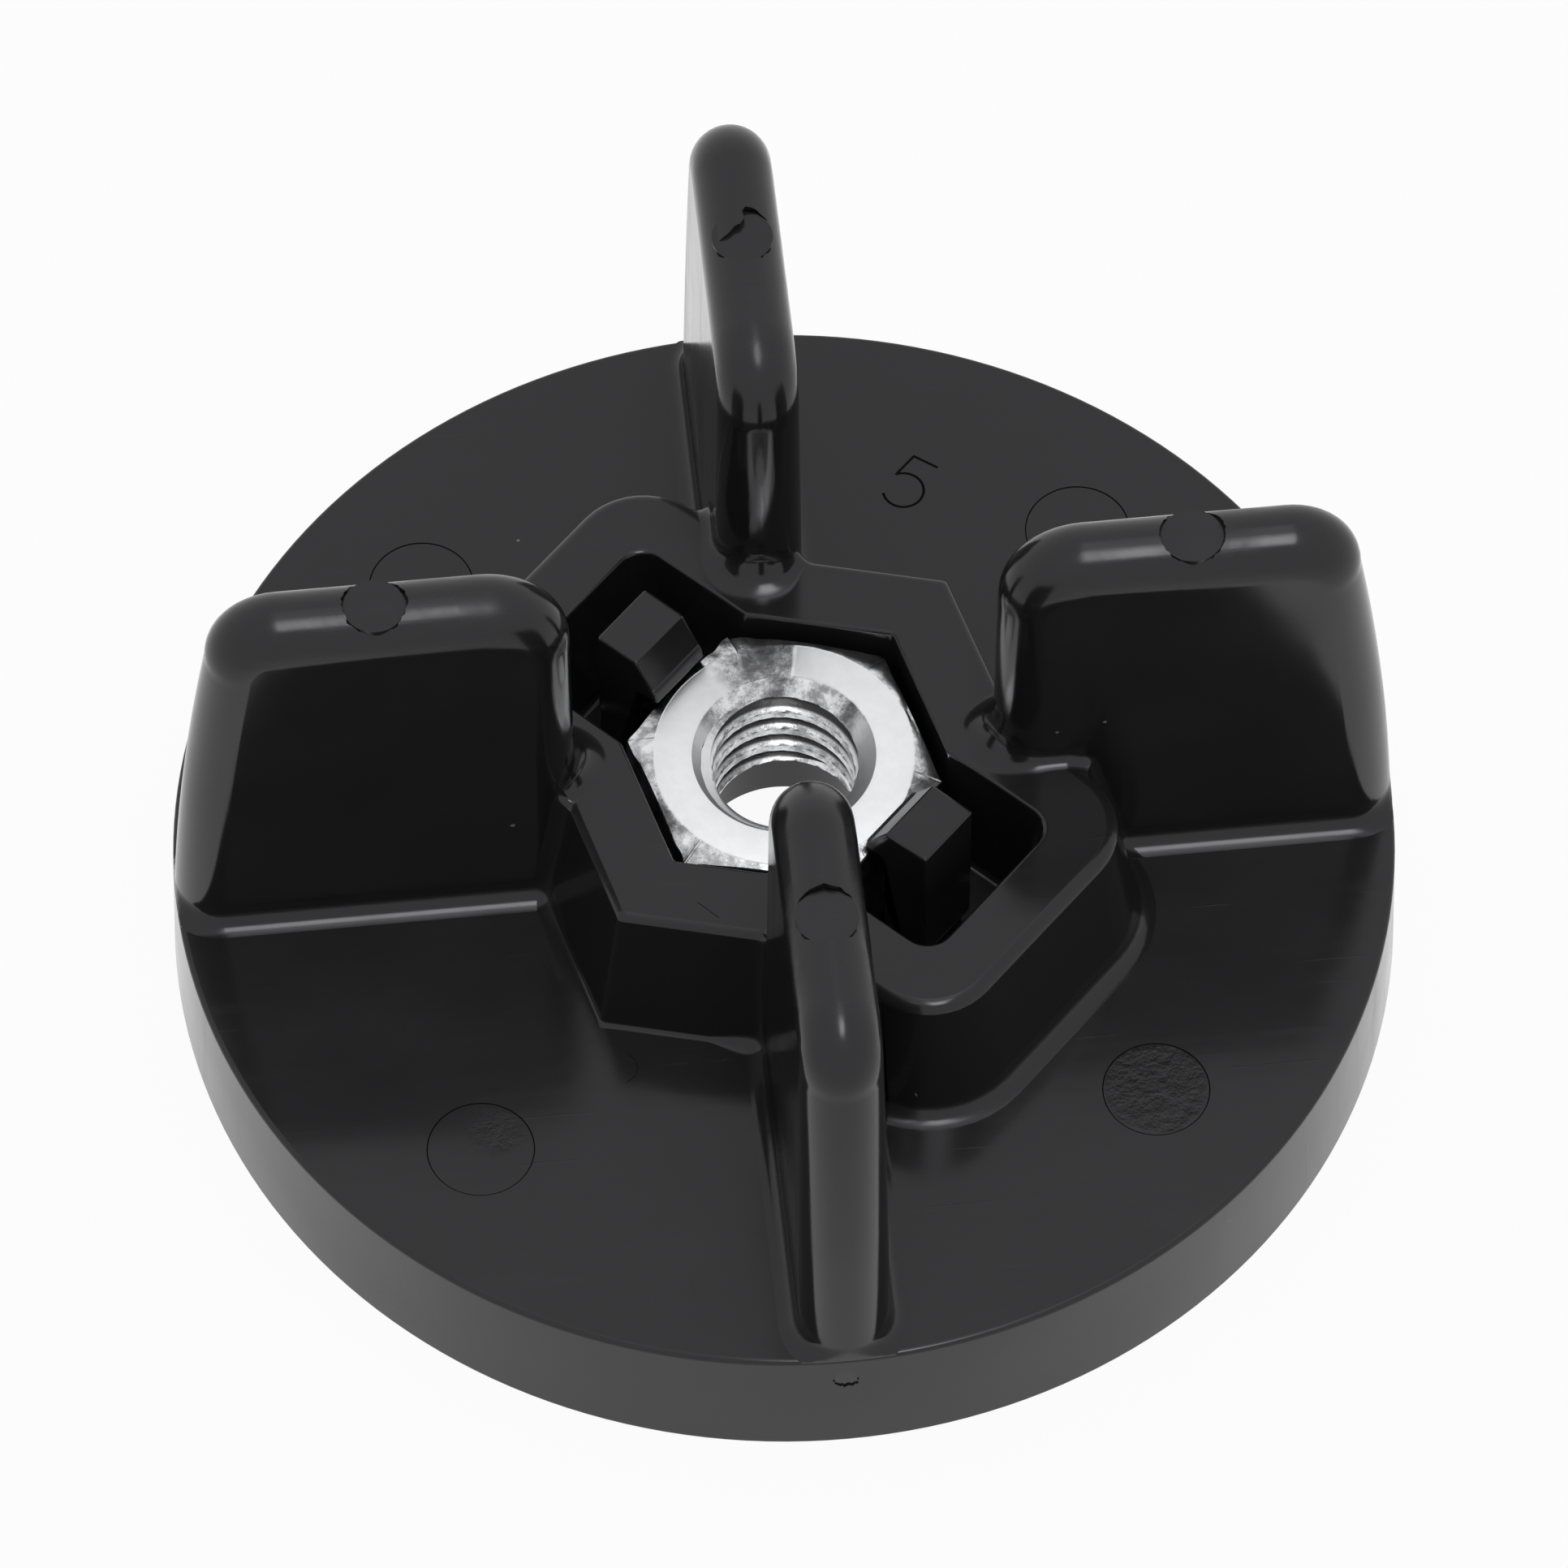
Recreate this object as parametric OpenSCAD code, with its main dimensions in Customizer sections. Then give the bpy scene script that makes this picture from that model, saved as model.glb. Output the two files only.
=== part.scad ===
// Four-wing hand knob with a captive hex nut held by two snap clips.
// Axes: +Z runs up along the thread, the wings lie along +X, +Y, -X and -Y.
// Origin: on the thread axis, at the level of the rim's bottom edge.

/* [Base] */
// Diameter of the rim at its bottom edge
rim_d = 57.2; // [50:0.1:65]
// Diameter of the base at its flat top
base_d = 56.8; // [49:0.1:64]
// Height of the flat top above the rim's bottom edge
base_h = 6.9; // [6.9:0.1:9]
// Thickness of the plate
plate_t = 2.5; // [2:0.1:2.8]
// Thickness of the skirt wall at its foot
skirt_t = 2.4; // [1.8:0.1:3]
// Diameter of the stud's way through the plate
stud_way_d = 8.4; // [8.2:0.1:9]

/* [Nut] */
// Width of the nut across its flats
nut_af = 12.7; // [12.5:0.1:12.9]
// Height of the nut
nut_h = 6.75; // [6.6:0.05:6.9]
// Minor diameter of the nut's thread
thread_minor_d = 6.6; // [6.4:0.05:6.7]
// Diameter of the countersink where it meets the nut's face
countersink_d = 8.4; // [8:0.1:8.8]
// Depth of the countersink at each end of the bore
countersink_h = 1.1; // [0.4:0.1:1.2]
// Diameter of the round face inside the nut's chamfer
nut_face_d = 12.06; // [11.6:0.02:12.4]
// Axial play of the nut between the plate and the clips
nut_play = 0.2; // [0.1:0.05:0.3]

/* [Socket] */
// Height of the socket above the plate
socket_h = 7.5; // [7.2:0.1:8]
// Gap between the nut and the socket, on each flat
socket_gap = 0.55; // [0.3:0.05:0.8]
// Width of the socket's hexagon across its flats, at its top edge
socket_af = 20.7; // [19.5:0.1:22]
// Distance across the two clip bays, at their top edge
bay_span = 30.6; // [29:0.1:32]
// Width of a clip bay at its top edge
bay_w = 15.3; // [14:0.1:17]
// Corner radius of a clip bay
bay_corner_r = 3.5; // [2.5:0.1:4]
// How far the outer walls spread from the top edge down to the plate
socket_draft = 1.2; // [0.4:0.1:1.6]
// Distance across the two clip pockets
pocket_span = 24.6; // [24:0.1:25.4]
// Width of a clip pocket
pocket_w = 9; // [8:0.1:9.6]
// Corner radius of a clip pocket
pocket_corner_r = 1.3; // [0.6:0.1:2]

/* [Clips] */
// Width of a clip
clip_w = 3.5; // [3:0.1:4]
// Height of a clip above the plate
clip_h = 9.4; // [9:0.1:9.8]
// Distance from the axis to the outer face of a clip
clip_back = 9.7; // [9.6:0.05:9.8]
// Thickness of a clip's stem
clip_stem_t = 2.3; // [1.8:0.1:2.4]
// How far the hook reaches over the nut's flat
clip_reach = 0.2; // [0.1:0.05:0.4]

/* [Wings] */
// Height of a wing above the plate
wing_h = 22.4; // [18:0.1:26]
// Thickness of a wing at its foot
wing_foot_t = 4.2; // [3.6:0.1:5]
// Thickness of a wing at its rounded top
wing_top_t = 3.7; // [3:0.1:4.2]
// Distance from the axis to a wing's inner end
wing_inner = 9.6; // [9.4:0.1:10]
// How far a wing's outer end leans in for each millimetre it rises, at its foot
wing_lean = 0.055; // [0:0.005:0.1]
// How fast the lean grows with height
wing_curve = 0.003; // [0:0.0001:0.004]
// Corner radius where the top meets the outer end
wing_outer_r = 3.35; // [2.5:0.05:4]
// Corner radius where the top meets the inner end
wing_inner_r = 3.9; // [3:0.1:5]

/* [Hidden] */

black_plastic = [0.06, 0.06, 0.065];
zinc_plate = [0.78, 0.79, 0.8];

// Fineness of turned faces, of blended outlines and of ball-shaped corners
turned_fn = 96;
outline_fn = 32;
ball_fn = 24;

// Running gap between a piece that moves and what it stands on
gap = 0.1;
// Thin layer that an outline is drawn with inside a blended shape
layer = 0.01;
// How far a cutting shape stands out of the piece it cuts
over = 1;

// Turned profile of the rim: it widens evenly from the flat top to the bottom edge
rim_r = rim_d / 2;
base_r = base_d / 2;
ledge_z = base_h - plate_t;
function rim_radius(z) = rim_r + (base_r - rim_r) * z / base_h;
skirt_inner_draft = 0.3;
// Far enough out to be past every part of the socket
far = rim_r;

// The socket's hexagon has corners at 45 degrees and every 60 degrees from there
hex_turn = 45;
// The clips face each other along this direction and its opposite
clip_turn = 135;
function corner_r(af) = af / 2 / cos(30);
pocket_af = nut_af + 2 * socket_gap;
// The bays start where the nut's pocket has its corners
bay_start = pocket_af / 2;

// The nut sits just above the plate
nut_z = base_h + gap;
// Turned blank that chamfers the nut's corners at 30 degrees; it reaches past the corners
nut_blank_r = corner_r(nut_af) + over;
nut_chamfer_h = (nut_blank_r - nut_face_d / 2) * tan(30);

// Side profile of a clip, measured from the axis and from the plate
clip_root_r = clip_stem_t / 2;
clip_front_lean = 0.15;
clip_front = clip_back - clip_stem_t - clip_front_lean;
clip_root_z = clip_root_r + 2 * gap;
hook_tip = nut_af / 2 - clip_reach;
hook_under = gap + nut_h + nut_play + gap;
hook_lip = 0.1;
// Where the hook's steep nose turns into its long slope
hook_nose = [0.25, 0.7];
hook_break = [hook_tip + hook_nose[0], hook_under + hook_nose[1]];
clip_top_t = 2.3;

// A wing is a slab with ball-shaped corners; these are the centres of its two top corners
top_ball = wing_top_t / 2;
function wing_end(z) = base_r - wing_lean * z - wing_curve * z * z;
outer_centre = [wing_end(wing_h - wing_outer_r) - wing_outer_r, wing_h - wing_outer_r];
wing_inner_lean = 0.15;
inner_centre = [wing_inner + wing_inner_lean + wing_inner_r, wing_h - wing_inner_r];
// Height at which the curved outer end is drawn once more between foot and top
middle_z = wing_h * 0.45;

module hexagon(af) {
    rotate(hex_turn) circle(r = corner_r(af), $fn = 6);
}

// Rectangle centred on the axis with round corners, its long side along the clips
module clip_outline(span, width, r) {
    rotate(clip_turn) {
        square([span, width - 2 * r], center = true);
        square([span - 2 * r, width], center = true);
        for (x = [-1, 1], y = [-1, 1])
            translate([x * (span / 2 - r), y * (width / 2 - r)]) circle(r = r, $fn = outline_fn);
    }
}

// Solid that tapers from one outline at the plate to a smaller one at the socket's top
module tapered() {
    hull() {
        translate([0, 0, base_h]) linear_extrude(layer) children(0);
        translate([0, 0, base_h + socket_h - layer]) linear_extrude(layer) children(1);
    }
}

// Outer shape of the socket, with nothing cut out of it
module socket_blank() {
    tapered() {
        hexagon(socket_af + 2 * socket_draft);
        hexagon(socket_af);
    }
    tapered() {
        clip_outline(bay_span + 2 * socket_draft, bay_w + 2 * socket_draft, bay_corner_r + socket_draft);
        clip_outline(bay_span, bay_w, bay_corner_r);
    }
}

// Pocket for the nut and for both clips, open at the top
module pocket() {
    translate([0, 0, base_h - over]) linear_extrude(socket_h + 2 * over) {
        hexagon(pocket_af);
        clip_outline(pocket_span, pocket_w, pocket_corner_r);
    }
}

// Block that keeps one part of the socket: low and high are its corners, x along the clips
module keep(low, high) {
    rotate(clip_turn) translate([low[0], low[1], base_h - over])
        cube([high[0] - low[0], high[1] - low[1], socket_h + 2 * over]);
}

module socket_part(low, high) {
    color(black_plastic) intersection() {
        difference() {
            socket_blank();
            pocket();
        }
        keep(low, high);
    }
}

module base_plate() {
    color(black_plastic) rotate_extrude($fn = turned_fn) polygon([
        [stud_way_d / 2, ledge_z],
        [rim_radius(ledge_z), ledge_z],
        [base_r, base_h],
        [stud_way_d / 2, base_h]]);
}

module rim_skirt() {
    color(black_plastic) rotate_extrude($fn = turned_fn) polygon([
        [rim_r - skirt_t, 0],
        [rim_r, 0],
        [rim_radius(ledge_z), ledge_z],
        [rim_r - skirt_t - skirt_inner_draft, ledge_z]]);
}

module socket_wall_northeast() {
    socket_part([-bay_start, -far], [bay_start, 0]);
}

module socket_wall_southwest() {
    socket_part([-bay_start, 0], [bay_start, far]);
}

module clip_bay_northwest() {
    socket_part([bay_start, -far], [far, far]);
}

module clip_bay_southeast() {
    socket_part([-far, -far], [-bay_start, far]);
}

module corner_ball(centre, radius, angle) {
    translate([centre[0] + radius * cos(angle), 0, centre[1] + radius * sin(angle)])
        sphere(r = top_ball, $fn = ball_fn);
}

// Slab along +X with full round edges on its outer end, top and inner end
module wing_blank() {
    foot_r = wing_foot_t / 2;
    middle_r = (foot_r + top_ball) / 2;
    hull() {
        for (x = [wing_inner + foot_r, base_r - foot_r])
            translate([x, 0, 0]) cylinder(r = foot_r, h = layer, $fn = outline_fn);
        translate([wing_end(middle_z) - middle_r, 0, middle_z]) sphere(r = middle_r, $fn = ball_fn);
        for (angle = [0, 45, 90]) corner_ball(outer_centre, wing_outer_r - top_ball, angle);
        for (angle = [90, 120, 150, 180]) corner_ball(inner_centre, wing_inner_r - top_ball, angle);
    }
}

module wing(turn) {
    color(black_plastic) difference() {
        rotate(turn) translate([0, 0, base_h]) wing_blank();
        socket_blank();
    }
}

module wing_east() {
    wing(0);
}

module wing_north() {
    wing(90);
}

module wing_west() {
    wing(180);
}

module wing_south() {
    wing(270);
}

// Stem with a round root and a hook; the slope on top spreads the clips as the nut goes in
module clip(turn) {
    root = [clip_back - clip_stem_t / 2, clip_root_z];
    color(black_plastic)
        rotate(turn) translate([0, clip_w / 2, base_h]) rotate([90, 0, 0]) linear_extrude(clip_w) {
            translate(root) circle(r = clip_root_r, $fn = turned_fn);
            polygon([
                [root[0] - clip_root_r, clip_root_z],
                [root[0] + clip_root_r, clip_root_z],
                [clip_back, clip_h],
                [clip_back - clip_top_t, clip_h],
                hook_break,
                [hook_tip, hook_under + hook_lip],
                [hook_tip, hook_under],
                [clip_front, hook_under]]);
        }
}

module clip_northwest() {
    clip(clip_turn);
}

module clip_southeast() {
    clip(clip_turn + 180);
}

module hex_nut() {
    minor_r = thread_minor_d / 2;
    sink_r = countersink_d / 2;
    color(zinc_plate) translate([0, 0, nut_z]) difference() {
        intersection() {
            linear_extrude(nut_h) hexagon(nut_af);
            rotate_extrude($fn = turned_fn) polygon([
                [0, 0],
                [nut_face_d / 2, 0],
                [nut_blank_r, nut_chamfer_h],
                [nut_blank_r, nut_h - nut_chamfer_h],
                [nut_face_d / 2, nut_h],
                [0, nut_h]]);
        }
        translate([0, 0, -layer]) cylinder(r = minor_r, h = nut_h + 2 * layer, $fn = turned_fn);
        translate([0, 0, -layer])
            cylinder(r1 = sink_r, r2 = minor_r, h = countersink_h + layer, $fn = turned_fn);
        translate([0, 0, nut_h - countersink_h])
            cylinder(r1 = minor_r, r2 = sink_r, h = countersink_h + layer, $fn = turned_fn);
    }
}

base_plate();
rim_skirt();
socket_wall_northeast();
socket_wall_southwest();
clip_bay_northwest();
clip_bay_southeast();
wing_east();
wing_north();
wing_west();
wing_south();
clip_northwest();
clip_southeast();
hex_nut();
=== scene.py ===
import math

import bmesh
import bpy
import numpy as np
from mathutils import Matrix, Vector


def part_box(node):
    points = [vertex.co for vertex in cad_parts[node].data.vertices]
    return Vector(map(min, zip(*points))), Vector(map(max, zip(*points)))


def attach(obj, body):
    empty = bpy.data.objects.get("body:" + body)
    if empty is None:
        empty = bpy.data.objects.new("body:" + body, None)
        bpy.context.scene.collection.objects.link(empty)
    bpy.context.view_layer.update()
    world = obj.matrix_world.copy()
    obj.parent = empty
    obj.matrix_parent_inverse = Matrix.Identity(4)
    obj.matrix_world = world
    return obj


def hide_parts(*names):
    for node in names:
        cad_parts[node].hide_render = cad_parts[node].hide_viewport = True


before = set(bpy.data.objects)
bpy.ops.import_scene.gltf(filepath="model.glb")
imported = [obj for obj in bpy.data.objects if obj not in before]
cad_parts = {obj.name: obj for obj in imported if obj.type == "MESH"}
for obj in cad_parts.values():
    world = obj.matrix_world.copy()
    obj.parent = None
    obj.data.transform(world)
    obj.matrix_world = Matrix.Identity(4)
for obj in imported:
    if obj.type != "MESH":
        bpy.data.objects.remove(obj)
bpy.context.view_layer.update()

# ---------------------------------------------------------------------------
# Base. A round cap of glossy black plastic, hollow underneath, moulded in one shot with all
# that stands on it. Ejector pins leave four round marks on its top, a cavity number stands
# between two wings, and the gate leaves a rough spot on the rim.

MM = 0.001
plate_low, plate_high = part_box("base_plate")
skirt_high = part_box("rim_skirt")[1]
deck = plate_high.z
ledge = plate_low.z
rim_r = skirt_high.x
rim_draft = 0.2 * MM
base_r = rim_r - rim_draft
stud_way_r = 4.2 * MM
skirt_t = 2.4 * MM
skirt_draft = 0.3 * MM


def rounded(corners, radii, growth=0.0, steps=8, guard=0.0):
    """Closed outline, anticlockwise, with an arc of its own radius at each corner.

    A point of an arc is centre + side * radius * normal, where the normal turns evenly from
    one edge's to the next one's and side is -1 at a corner that points inwards. Guard points
    stand a little before and after each arc. Returns the points and how far each one moves
    for each unit that the outline grows: along its corner's mitre, or along its own normal
    for the share of the growth that goes into the radius."""
    corners = np.asarray(corners, float)
    count = len(corners)
    radii = np.broadcast_to(radii, count)[:, None]
    growth = np.broadcast_to(growth, count)[:, None]
    ahead = np.roll(corners, -1, axis=0) - corners
    ahead /= np.linalg.norm(ahead, axis=1, keepdims=True)
    behind = np.roll(ahead, 1, axis=0)
    normal_in = np.stack([behind[:, 1], -behind[:, 0]], axis=1)
    normal_out = np.stack([ahead[:, 1], -ahead[:, 0]], axis=1)
    cosine = (behind * ahead).sum(axis=1)
    turn = np.arctan2(behind[:, 0] * ahead[:, 1] - behind[:, 1] * ahead[:, 0], cosine)
    side = np.sign(turn)[:, None]
    mitre = (normal_in + normal_out) / (1 + cosine[:, None])
    start = np.arctan2(normal_in[:, 1], normal_in[:, 0])[:, None]
    angle = start + turn[:, None] * np.linspace(0, 1, steps + 1)
    normal = np.stack([np.cos(angle), np.sin(angle)], axis=-1)
    points = (corners - side * radii * mitre)[:, None] + (side * radii)[:, None] * normal
    spread = mitre[:, None] + (side * growth)[:, None] * (normal - mitre[:, None])
    if guard:
        before = points[:, :1] - guard * behind[:, None]
        after = points[:, -1:] + guard * ahead[:, None]
        points = np.concatenate([before, points, after], axis=1)
        spread = np.concatenate([spread[:, :1], spread, spread[:, -1:]], axis=1)
    return points.reshape(-1, 2), spread.reshape(-1, 2)


def solid(name, grid, rings=False, outward=None):
    """Closed mesh from a grid of points, rows by columns by xyz.

    Each row is a loop that closes on itself. With rings, the last row closes on the first as
    well; without, the first and the last row are each filled by one flat face. Points that
    fall together, as at a pole or along a crest, are merged. outward may give the shading
    direction at each point, for a surface that runs on smoothly into another piece."""
    rows, columns = grid.shape[:2]
    row = np.arange(rows if rings else rows - 1)[:, None]
    column = np.arange(columns)[None, :]
    next_row = (row + 1) % rows
    next_column = (column + 1) % columns
    quads = np.stack([
        row * columns + column,
        row * columns + next_column,
        next_row * columns + next_column,
        next_row * columns + column], axis=-1).reshape(-1, 4).tolist()
    if not rings:
        quads.append(list(range(columns))[::-1])
        quads.append(list(range((rows - 1) * columns, rows * columns)))
    mesh = bpy.data.meshes.new(name)
    mesh.from_pydata(grid.reshape(-1, 3).tolist(), [], quads)
    if outward is not None:
        mesh.attributes.new("outward", "FLOAT_VECTOR", "POINT").data.foreach_set("vector", outward.ravel())
    work = bmesh.new()
    work.from_mesh(mesh)
    bmesh.ops.remove_doubles(work, verts=work.verts, dist=0.0004 * MM)
    bmesh.ops.dissolve_degenerate(work, edges=work.edges, dist=0.0004 * MM)
    bmesh.ops.recalc_face_normals(work, faces=work.faces)
    work.to_mesh(mesh)
    work.free()
    if outward is not None:
        directions = np.empty(3 * len(mesh.vertices), np.float32)
        mesh.attributes["outward"].data.foreach_get("vector", directions)
        mesh.attributes.remove(mesh.attributes["outward"])
        mesh.shade_smooth()
        mesh.normals_split_custom_set_from_vertices(directions.reshape(-1, 3))
    piece = bpy.data.objects.new(name, mesh)
    bpy.context.scene.collection.objects.link(piece)
    return piece


def polish(piece, crease=32):
    """Smooth shading that breaks only at edges sharper than crease, in degrees, and that
    large faces rule, so that a flat stays flat up to the round edge beside it."""
    piece.data.shade_smooth()
    piece.data.set_sharp_from_angle(angle=math.radians(crease))
    evenness = piece.modifiers.new("even shading", "WEIGHTED_NORMAL")
    evenness.keep_sharp = True
    evenness.weight = 60


def lathe(outline, turns=192):
    """Each (radius, height) point of the outline turned round the Z axis."""
    angle = np.linspace(0, 2 * math.pi, turns, endpoint=False)[:, None]
    radius, height = np.asarray(outline).T
    return np.stack([
        radius * np.cos(angle),
        radius * np.sin(angle),
        np.broadcast_to(height, (turns, len(radius)))], axis=-1)


def carve(piece, cutters, operation="DIFFERENCE"):
    """Takes the cutters' volume away from the piece, or adds it, and removes the cutters."""
    for cutter in cutters:
        cut = piece.modifiers.new("cut", "BOOLEAN")
        cut.operation = operation
        cut.solver = "EXACT"
        cut.object = cutter
    seen = piece.evaluated_get(bpy.context.evaluated_depsgraph_get())
    carved = bpy.data.meshes.new_from_object(seen)
    piece.modifiers.clear()
    piece.data = carved
    for cutter in cutters:
        bpy.data.objects.remove(cutter)


def circle(radius, centre, turns=96):
    """Flat outline: centre + radius * (cos, sin). The radius may differ from point to point."""
    angle = np.linspace(0, 2 * math.pi, turns, endpoint=False)
    return np.stack([centre[0] + radius * np.cos(angle), centre[1] + radius * np.sin(angle)], axis=-1)


def upright(name, outline, low, high):
    """Flat outline carried straight up from one height to another."""
    grid = np.zeros((2, len(outline), 3))
    grid[:, :, :2] = outline
    grid[:, :, 2] = np.array([low, high])[:, None]
    return solid(name, grid)


def scribe(name, line, width, depth, level, closed=False):
    """Cutter for a scribed groove: a V carried along a flat line, open above the level.

    Each row has the V's left edge, its point and its right edge, at line + side * width,
    line - depth * Z and line - side * width, where side is the line's own left-hand normal."""
    ahead = np.roll(line, -1, axis=0) - np.roll(line, 1, axis=0) if closed else np.gradient(line, axis=0)
    ahead = ahead / np.linalg.norm(ahead, axis=1, keepdims=True)
    side = np.stack([-ahead[:, 1], ahead[:, 0]], axis=1)
    flat = np.stack([line + side * width, line, line - side * width], axis=1)
    height = np.broadcast_to(level + np.array([depth, -depth, depth])[:, None], flat.shape[:2] + (1,))
    return solid(name, np.concatenate([flat, height], axis=2), rings=closed)


class Shade:
    """One value that varies over a surface: an output of a node in a material or world.

    Arithmetic between such values, or with plain numbers, adds the Math node that does it."""

    def __init__(self, tree, socket=None):
        self.tree = tree
        self.socket = socket

    def node(self, kind, settings=(), inputs=(), output=0):
        """Adds a node. settings are set first: its own properties, or "stops" for a ramp's
        (place, colour) pairs. inputs are its sockets' values, numbers or other shades."""
        made = self.tree.nodes.new(kind)
        for key, value in dict(settings).items():
            if key == "stops":
                ramp = made.color_ramp
                while len(ramp.elements) < len(value):
                    ramp.elements.new(0.5)
                for element, (place, colour) in zip(ramp.elements, value):
                    element.position = place
                    element.color = colour
            else:
                setattr(made, key, value)
        for key, value in dict(inputs).items():
            if isinstance(value, Shade):
                self.tree.links.new(value.socket, made.inputs[key])
            else:
                made.inputs[key].default_value = value
        return Shade(self.tree, made.outputs[output] if made.outputs else None)

    def math(self, operation, first, second=0.0, clamp=False):
        """Math node of two values."""
        settings = {"operation": operation, "use_clamp": clamp}
        return self.node("ShaderNodeMath", settings, {0: first, 1: second})

    def __add__(self, other):
        return self.math("ADD", self, other)

    def __sub__(self, other):
        return self.math("SUBTRACT", self, other)

    def __rsub__(self, other):
        return self.math("SUBTRACT", other, self)

    def __mul__(self, other):
        return self.math("MULTIPLY", self, other)

    def __gt__(self, other):
        return self.math("GREATER_THAN", self, other)

    def __lt__(self, other):
        return self.math("LESS_THAN", self, other)

    __radd__ = __add__
    __rmul__ = __mul__

    def ramp(self, low, high, start=0.0, end=1.0):
        """Smooth step: start below low, end above high."""
        settings = {"interpolation_type": "SMOOTHSTEP"}
        inputs = {"Value": self, "From Min": low, "From Max": high, "To Min": start, "To Max": end}
        return self.node("ShaderNodeMapRange", settings, inputs)


def new_material(name):
    """An empty material, its first shade and the object's own coordinates."""
    material = bpy.data.materials.new(name)
    material.use_nodes = True
    material.node_tree.nodes.clear()
    ink = Shade(material.node_tree)
    where = ink.node("ShaderNodeTexCoord", output="Object")
    return material, ink, where


def finish_material(ink, surface):
    """Joins the surface to the material's output."""
    ink.node("ShaderNodeOutputMaterial", inputs={"Surface": surface})


def black_plastic(name, satin_from=1.0, scarred=()):
    """Injection-moulded black plastic: slightly wavy gloss with fine orange peel, faint flow
    streaks, hair scratches, specks of dust, and a duller skin above the height satin_from,
    where hands rub it. scarred lists (x, y, radius, fade, depth) of spots that a worn ejector
    pin left rough. Relief is in millimetres."""
    material, ink, where = new_material(name)

    def noise(scale, detail, vector=where, roughness=0.5):
        return ink.node("ShaderNodeTexNoise", inputs={
            "Vector": vector, "Scale": scale, "Detail": detail, "Roughness": roughness})

    def stretched(turn, across):
        return ink.node("ShaderNodeMapping", inputs={0: where, 2: (0, 0, turn), 3: (1, across, 1)})

    swell = noise(75, 1)
    peel = noise(330, 2)
    smear = noise(120, 5, roughness=0.65)
    grain = noise(4200, 2)
    streak = noise(45, 3, stretched(0.12, 22))
    hair = noise(60, 1, stretched(0.9, 60)).ramp(0.7, 0.73)
    hair = hair + noise(60, 1, stretched(-0.5, 60)).ramp(0.72, 0.75)
    scuffed = smear.ramp(0.5, 0.62)
    height = ink.node("ShaderNodeSeparateXYZ", inputs={0: where}, output="Z")
    rubbed = height.ramp(satin_from, satin_from + 2.5 * MM)
    cell = ink.node("ShaderNodeTexVoronoi", inputs={"Vector": where, "Scale": 420}, output="Distance")
    speck = cell.ramp(0.045, 0.06, 1, 0) * (noise(140, 0) > 0.62)
    roughness = 0.12 + smear.ramp(0.4, 0.75, 0, 0.06) + streak.ramp(0.5, 0.7, 0, 0.05)
    roughness = roughness + hair * scuffed * 0.08 + rubbed * smear.ramp(0.4, 0.65, 0.04, 0.22)
    relief = swell * 0.16 + peel * 0.008 + streak * 0.0015 + hair * scuffed * 0.0015
    relief = relief + speck * 0.01 + grain * (0.0004 + 0.0022 * rubbed)
    east = ink.node("ShaderNodeSeparateXYZ", inputs={0: where}, output="X")
    north = ink.node("ShaderNodeSeparateXYZ", inputs={0: where}, output="Y")
    for x, y, radius, fade, depth in scarred:
        away = ink.math("SQRT", (east - x) * (east - x) + (north - y) * (north - y))
        spot = away.ramp(radius - fade, radius, 1, 0)
        relief = relief + spot * (noise(1500, 4, roughness=0.7) - 0.5) * depth
        roughness = roughness + spot * 0.1
    bump = ink.node("ShaderNodeBump", inputs={"Height": relief, "Strength": 1.0, "Distance": MM})
    colour = ink.node("ShaderNodeValToRGB", {"stops": [
        (0, (0.0125, 0.0122, 0.013, 1)), (1, (0.2, 0.2, 0.2, 1))]}, {0: speck * 0.8})
    surface = ink.node("ShaderNodeBsdfPrincipled", inputs={
        "Base Color": colour,
        "Roughness": roughness,
        "IOR": 1.41,
        "Specular Tint": (0.97, 0.96, 1.0, 1),
        "Normal": bump})
    finish_material(ink, surface)
    return material


base_outline, _ = rounded(
    [(stud_way_r, ledge), (rim_r - skirt_t - skirt_draft, ledge), (rim_r - skirt_t, 0), (rim_r, 0),
     (base_r, deck), (stud_way_r, deck)],
    np.array([0.12, 1.1, 0.2, 0.15, 0.22, 0.12]) * MM, guard=0.04 * MM)
base = solid("base", lathe(base_outline), rings=True)
pin_mark_r = 2.45 * MM
pin_mark_depth = 0.03 * MM
pin_angles = np.radians([45, 135, 225, 315])
pin_circle_r = 22 * MM
pin_marks = pin_circle_r * np.stack([np.cos(pin_angles), np.sin(pin_angles)], axis=1)
cutter_reach = 1 * MM
groove_w = 0.07 * MM
groove_depth = 0.09 * MM
cutters = []
for k, place in enumerate(pin_marks):
    mark = circle(pin_mark_r, place)
    cutters.append(upright("pin_%d" % k, mark, deck - pin_mark_depth, deck + cutter_reach))
    cutters.append(scribe("pin_groove_%d" % k, mark, groove_w, groove_depth, deck, closed=True))

numeral_h = 2.9 * MM
numeral_line_w = 0.13 * MM
numeral_line_depth = 0.12 * MM
numeral_turn = math.radians(-36)
numeral_place = np.array([7.94, 19.02]) * MM
bowl = np.radians(np.linspace(142, -140, 40))
strokes = [
    np.linspace([1.75, 3], [0.36, 3], 8), np.linspace([0.4, 3], [0.17, 1.6], 8),
    np.stack([0.95 + np.cos(bowl), 1 + np.sin(bowl)], axis=1)]
c, s = math.cos(numeral_turn), math.sin(numeral_turn)
for k, stroke in enumerate(strokes):
    stroke = numeral_place + (stroke - [1, 1.5]) @ np.array([[c, s], [-s, c]]) * numeral_h / 3
    cutters.append(scribe("numeral_%d" % k, stroke, numeral_line_w, numeral_line_depth, deck))
hair_w = 0.03 * MM
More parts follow.
